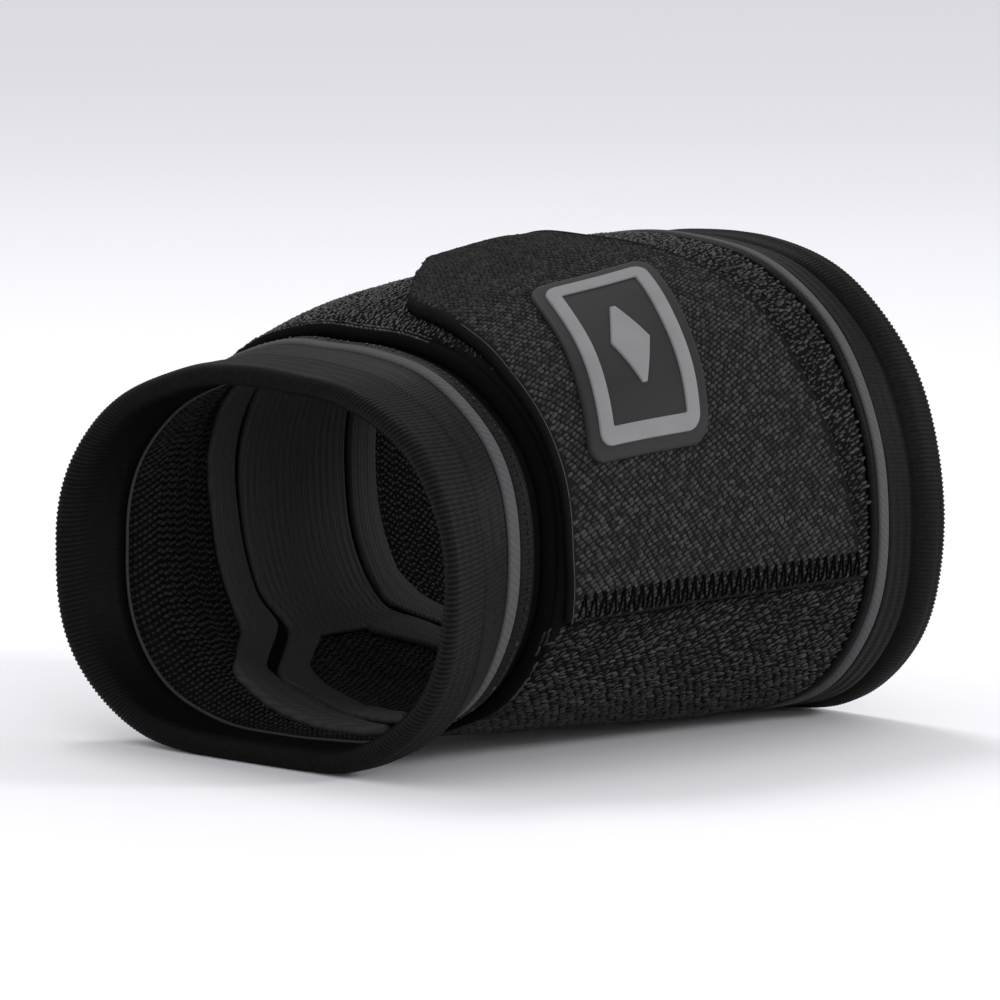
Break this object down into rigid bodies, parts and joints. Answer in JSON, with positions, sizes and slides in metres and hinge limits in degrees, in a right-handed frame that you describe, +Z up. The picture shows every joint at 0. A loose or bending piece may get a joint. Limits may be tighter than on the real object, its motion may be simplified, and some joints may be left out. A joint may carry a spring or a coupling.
{
  "type": "wrist compression sleeve",
  "caption": "Knitted wrist sleeve, open at both ends, with a rolled lip, a flared rim, a sewn-on strap with a rubber patch, and a ribbed panel inside.",
  "frame": {"origin": "on the surface that the sleeve lies on, under the middle of its box", "axes": "+X along the sleeve from the wrist end to the forearm end, -Y towards the front where the strap is sewn, +Z up"},
  "size_m": [0.0914, 0.077, 0.0632],
  "materials": {
    "coarse_knit": "coarse black knit with a dull sheen",
    "smooth_knit": "fine black rib knit",
    "pale_yarn": "mid-grey yarn",
    "strap_weave": "charcoal twill weave",
    "dark_rubber": "satin dark grey",
    "pale_rubber": "satin light grey"
  },
  "bodies": {
    "root": {"sleeve_body": "coarse_knit", "wrist_cuff": "smooth_knit", "wrist_stripe": "pale_yarn", "hem_bead": "smooth_knit", "forearm_cuff": "smooth_knit", "forearm_stripe": "pale_yarn", "strap": "strap_weave", "badge_patch": "dark_rubber", "badge_frame": "pale_rubber", "badge_lozenge": "pale_rubber", "inner_panel": "smooth_knit", "inner_band_near": "smooth_knit", "inner_band_far": "smooth_knit", "inner_arm_near": "smooth_knit", "inner_arm_far": "smooth_knit"}
  },
  "joints": []
}
